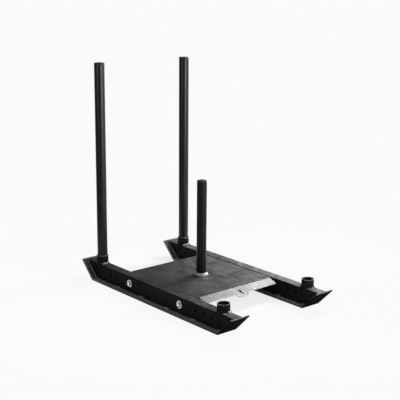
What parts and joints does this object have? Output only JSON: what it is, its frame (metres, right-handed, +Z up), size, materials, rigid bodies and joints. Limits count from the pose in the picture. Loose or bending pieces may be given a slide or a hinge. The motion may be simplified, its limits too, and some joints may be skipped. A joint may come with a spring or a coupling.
{
  "type": "push sled",
  "caption": "Low push sled: upturned skis under box rails, a folded deck with a post for weight plates, pole sockets at the corners and lift-out push poles.",
  "frame": {"origin": "on the ground plane, below the middle of the deck", "axes": "+X forward along the skis towards the tow tab, +Y to the left, +Z up"},
  "size_m": [1.1482, 0.638, 1.1],
  "materials": {
    "powder_coat": "fine-textured satin black powder coat on the skis, rails, sockets and welds",
    "deck_coat": "satin black powder coat on the folded deck",
    "pole_coat": "smooth satin black powder coat on the poles and the post",
    "zinc_plate": "bright zinc-plated bolts, washers, nuts and sleeves",
    "black_plastic": "matt black moulded end caps"
  },
  "bodies": {
    "frame": {"ski_left": "powder_coat", "ski_right": "powder_coat", "rail_left": "powder_coat", "rail_right": "powder_coat", "socket_front_left": "powder_coat", "socket_rear_left": "powder_coat", "socket_front_right": "powder_coat", "socket_rear_right": "powder_coat", "socket_floor_front_left": "powder_coat", "socket_floor_rear_left": "powder_coat", "socket_floor_front_right": "powder_coat", "socket_floor_rear_right": "powder_coat", "socket_weld_fore_front_left": "powder_coat", "socket_weld_aft_front_left": "powder_coat", "socket_weld_fore_rear_left": "powder_coat", "socket_weld_aft_rear_left": "powder_coat", "socket_weld_fore_front_right": "powder_coat", "socket_weld_aft_front_right": "powder_coat", "socket_weld_fore_rear_right": "powder_coat", "socket_weld_aft_rear_right": "powder_coat", "deck_bolt_front_left": "zinc_plate", "deck_bolt_rear_left": "zinc_plate", "deck_bolt_front_right": "zinc_plate", "deck_bolt_rear_right": "zinc_plate", "washer_outer_front_left": "zinc_plate", "washer_outer_rear_left": "zinc_plate", "washer_outer_front_right": "zinc_plate", "washer_outer_rear_right": "zinc_plate", "spacer_sleeve_front_left": "zinc_plate", "spacer_sleeve_rear_left": "zinc_plate", "spacer_sleeve_front_right": "zinc_plate", "spacer_sleeve_rear_right": "zinc_plate", "washer_inner_front_left": "zinc_plate", "washer_inner_rear_left": "zinc_plate", "washer_inner_front_right": "zinc_plate", "washer_inner_rear_right": "zinc_plate", "lock_nut_front_left": "zinc_plate", "lock_nut_rear_left": "zinc_plate", "lock_nut_front_right": "zinc_plate", "lock_nut_rear_right": "zinc_plate", "deck_plate": "deck_coat", "deck_stiffener": "powder_coat", "plate_post": "pole_coat", "post_collar": "powder_coat", "post_cap": "black_plastic"},
    "left_pole": {"push_pole_left": "pole_coat", "pole_top_cap_left": "black_plastic", "pole_foot_cap_left": "black_plastic"},
    "right_pole": {"push_pole_right": "pole_coat", "pole_top_cap_right": "black_plastic", "pole_foot_cap_right": "black_plastic"}
  },
  "joints": [
    {"name": "lift_left_pole", "type": "slide", "parent": "frame", "child": "left_pole", "axis": [0, 0, 1], "range_m": [0, 0.12]},
    {"name": "lift_right_pole", "type": "slide", "parent": "frame", "child": "right_pole", "axis": [0, 0, 1], "range_m": [0, 0.12]}
  ]
}
